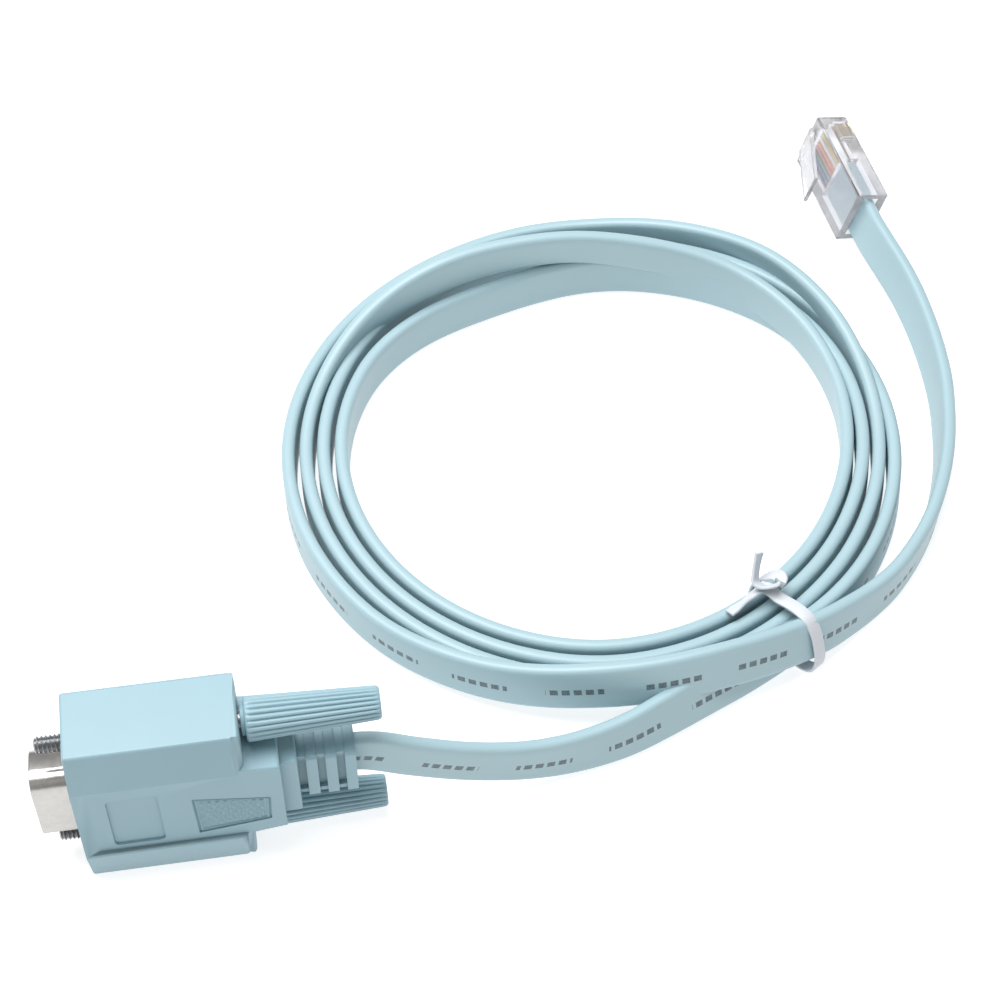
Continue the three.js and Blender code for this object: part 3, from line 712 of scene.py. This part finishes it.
class CONSOLE_OT_thumbscrews(ConsoleOperator):
    """Build the two ribbed thumbscrew heads and the two threaded jackscrews"""

    bl_idname = "console_cable.thumbscrews"
    bl_label = "Thumbscrews"

    def execute(self, context):
        settings = context.scene.console_connector
        plastic = moulded_plastic("head_plastic", settings.colour)
        steel = plated_metal("screw_steel", settings.screw_colour, 0.34, 900.0)
        for word, side in (("upper", 1), ("lower", -1)):
            height = AXIS_HEIGHT + side * SCREW_OFFSET
            body = f"{word}_thumbscrew"
            head = closed_tube(f"{word}_ribbed_head", self.head_grid(settings, height) * MM)
            add_piece(f"{word}_ribbed_head", finish_mesh(head, 60.0), body, plastic,
                      (f"{word}_thumbscrew_head",))
            screw = closed_tube(f"{word}_threaded_screw", self.screw_grid(settings, height) * MM)
            add_piece(f"{word}_threaded_screw", finish_mesh(screw, 50.0), body, steel,
                      (f"{word}_jackscrew",))
        return {"FINISHED"}

    def on_axis(self, x, radius, angle, height):
        """Points round the screw's axis at each distance along it."""
        return np.stack([
            np.broadcast_to(x + HOOD_FRONT, radius.shape), radius * np.cos(angle),
            radius * np.sin(angle) + height], axis=-1)

    def head_grid(self, settings, height):
        """Radius from a profile along the axis, less a groove between ribs: the depth times one less the size
        of a sine with half a wave for each rib, to a power that narrows it. The grooves fade out at both
        ends."""
        front, depth = settings.head_radius / MM, settings.rib_depth / MM
        long = HEAD_END - HEAD_START
        profile = np.array([
            (0.0, 0.02), (0.0, 2.1), (0.08, 2.36), (0.55, 2.4), (0.62, 2.45), (0.64, front - 0.5),
            (0.72, front - 0.16), (0.95, front), (1.6, front - 0.03), (2.2, front - 0.06),
            (4, front - 0.14), (7, front - 0.27), (10, front - 0.4), (13, front - 0.54),
            (16, front - 0.66), (18.6, front - 0.78), (19.6, front - 0.83), (20.2, front - 0.88),
            (long - 0.22, front - 0.98),
            (long - 0.06, front - 1.14), (long, front - 1.34), (long, 1.5), (long - 0.35, 1.4),
            (long - 0.35, 0.02)])
        x = (HEAD_START + profile[:, 0])[:, None]
        mask = np.interp(profile[:, 0], [0.9, 1.7, long - 1.0, long - 0.2], [0, 1, 1, 0.25])[:, None]
        mask[profile[:, 1] < 2.0] = 0
        angle = np.linspace(0, 2 * np.pi, settings.head_ribs * 10, endpoint=False)[None, :]
        groove = (1 - np.abs(np.sin(settings.head_ribs / 2 * angle))) ** 1.4
        return self.on_axis(x, profile[:, 1:2] - depth * mask * groove, angle, height)

    def screw_grid(self, settings, height):
        """Helical thread: the radius falls by a triangle wave of the distance along, in pitches, less the part
        of a turn. A cone starts the tip, and a plain shank follows the thread."""
        radius, pitch = settings.screw_radius / MM, settings.thread_pitch / MM
        x = np.r_[np.arange(SCREW_START, THREAD_END, pitch / 10),
                  np.linspace(THREAD_END + 0.05, SCREW_END, 6)][:, None]
        angle = np.linspace(0, 2 * np.pi, 32, endpoint=False)[None, :]
        turn = x / pitch - angle / (2 * np.pi)
        fade = np.clip((THREAD_END - x) / 0.6, 0, 1)
        thread = radius - THREAD_DEPTH * fade * (1 - triangle_wave(turn))
        tip = np.clip(0.95 + (x - SCREW_START) * 1.2, 0, radius)
        grid = np.minimum(thread, tip)
        return self.on_axis(x, grid, angle, height)


class CONSOLE_OT_plug(ConsoleOperator):
    """Finish the clear plug with its contacts and coloured conductors"""

    bl_idname = "console_cable.plug"
    bl_label = "Plug"

    def execute(self, context):
        settings = context.scene.console_plug
        clear = clear_plastic(settings)
        refine_node("plug_body", "plug_moulding", "cable", clear, settings.edge, 1.5 * MM)
        gold = plated_metal("contact_gold", context.scene.console_connector.gold_colour, 0.22)
        for number, (name, rgb) in enumerate(WIRE_COLOURS.items(), 1):
            dress_node(f"plug_contact_{number}", gold)
            dress_node(f"conductor_{number}", moulded_plastic(name, rgb, 0.4))
        return {"FINISHED"}


class CONSOLE_OT_cord(ConsoleOperator):
    bl_idname = "console_cable.cord"
    bl_label = "Cord"

    def execute(self, context):
        on_it = ["twist_tie_strip", "plug_moulding"]
        on_it += [f"{kind}_{number}" for kind in ("plug_contact", "conductor") for number in range(1, 9)]
        return {"FINISHED"}


class CONSOLE_OT_stage(ConsoleOperator):
    """Lay the pale floor and light it softly from above"""

    bl_idname = "console_cable.stage"
    bl_label = "Stage"

    def execute(self, context):
        settings = context.scene.console_stage
        mesh = bpy.data.meshes.new("floor")
        corners = ((-1, -1), (1, -1), (1, 1), (-1, 1))
        points = [(x * FLOOR_HALF, y * FLOOR_HALF, FLOOR_HEIGHT) for x, y in corners]
        mesh.from_pydata(points, [], [(0, 1, 2, 3)])
        shader = Shader("floor")
        place = shader.place()
        cloud = shader.noise(place, 30.0)
        tone = shader.mix(cloud, colour(settings.floor, 0.995), colour(settings.floor, 1.005))
        mesh.materials.append(shader.finish(
            Base_Color=tone, Roughness=0.9, Emission_Color=(1, 1, 1, 1),
            Emission_Strength=settings.floor_glow))
        floor = bpy.data.objects.new("floor", mesh)
        context.scene.collection.objects.link(floor)
        powers = {"key": settings.key_power, "fill": settings.fill_power}
        for name, place, target, size in LIGHTS:
            data = bpy.data.lights.new(name, "AREA")
            data.size = size
            data.energy = powers[name]
            light = bpy.data.objects.new(name, data)
            context.scene.collection.objects.link(light)
            aim(light, place, target)
        world = bpy.data.worlds.new("sky")
        world.use_nodes = True
        back = world.node_tree.nodes["Background"]
        back.inputs["Color"].default_value = (1, 1, 1, 1)
        back.inputs["Strength"].default_value = settings.sky
        context.scene.world = world
        context.scene.view_settings.view_transform = "Standard"
        return {"FINISHED"}


class CONSOLE_PT_panel(bpy.types.Panel):
    """Lists the pieces of the cable"""

    bl_label = "Console cable"
    bl_idname = "CONSOLE_PT_panel"
    bl_space_type = "VIEW_3D"
    bl_region_type = "UI"
    bl_category = "Console cable"

    def draw(self, context):
        for settings in SETTINGS:
            group = getattr(context.scene, settings)
            box = self.layout.box()
            for key in group.bl_rna.properties.keys():
                if key not in ("rna_type", "name"):
                    box.prop(group, key)
        for operator in OPERATORS:
            self.layout.operator(operator.bl_idname)


SETTINGS = {
    "console_cable": CableSettings,
    "console_connector": ConnectorSettings,
    "console_plug": PlugSettings,
    "console_stage": StageSettings,
}
OPERATORS = (
    CONSOLE_OT_camera, CONSOLE_OT_cable, CONSOLE_OT_tie, CONSOLE_OT_hood, CONSOLE_OT_contacts,
    CONSOLE_OT_thumbscrews, CONSOLE_OT_plug, CONSOLE_OT_cord, CONSOLE_OT_stage,
)


def register():
    for group in SETTINGS.values():
        bpy.utils.register_class(group)
    for operator in OPERATORS:
        bpy.utils.register_class(operator)
    bpy.utils.register_class(CONSOLE_PT_panel)
    for key, group in SETTINGS.items():
        setattr(bpy.types.Scene, key, bpy.props.PointerProperty(type=group))


def unregister():
    for key in SETTINGS:
        delattr(bpy.types.Scene, key)
    bpy.utils.unregister_class(CONSOLE_PT_panel)
    for operator in reversed(OPERATORS):
        bpy.utils.unregister_class(operator)
    for group in reversed(SETTINGS.values()):
        bpy.utils.unregister_class(group)


def main():
    register()
    build = bpy.ops.console_cable
    build.camera()
    build.cable()
    build.tie()
    build.hood()
    build.contacts()
    build.thumbscrews()
    build.plug()
    build.cord()
    build.stage()


if __name__ == "__main__":
    main()
